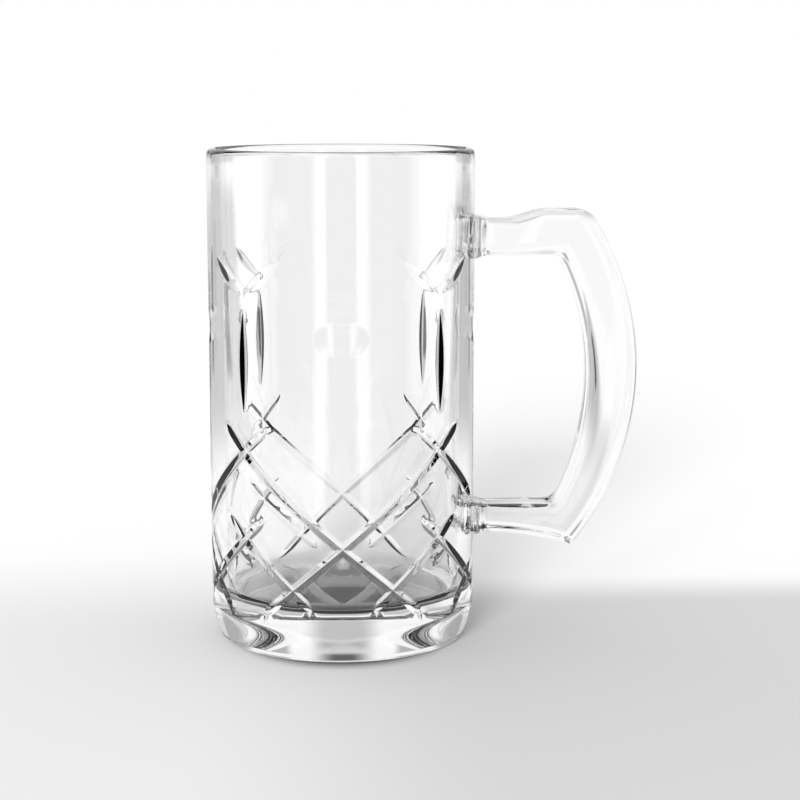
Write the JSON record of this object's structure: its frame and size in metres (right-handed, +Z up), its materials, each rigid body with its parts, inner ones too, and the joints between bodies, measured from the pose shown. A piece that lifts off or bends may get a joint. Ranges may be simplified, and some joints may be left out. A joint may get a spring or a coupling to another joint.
{
  "type": "juice mug",
  "caption": "Tall clear glass mug with a heavy base, a mitre-cut lattice and a D handle with a thumb rest, for holding cold drinks.",
  "frame": {"origin": "middle of the flat underside, on the tumbler's own axis, at the level of the table", "axes": "+Z up along the tumbler's axis, +X from the axis towards the handle, +Y across the handle"},
  "size_m": [0.1268, 0.0786, 0.145],
  "materials": {
    "tumbler": "clear fire-polished glass",
    "handle": "clear fire-polished glass"
  },
  "bodies": {
    "root": {"tumbler": "tumbler", "handle": "handle"}
  },
  "joints": []
}
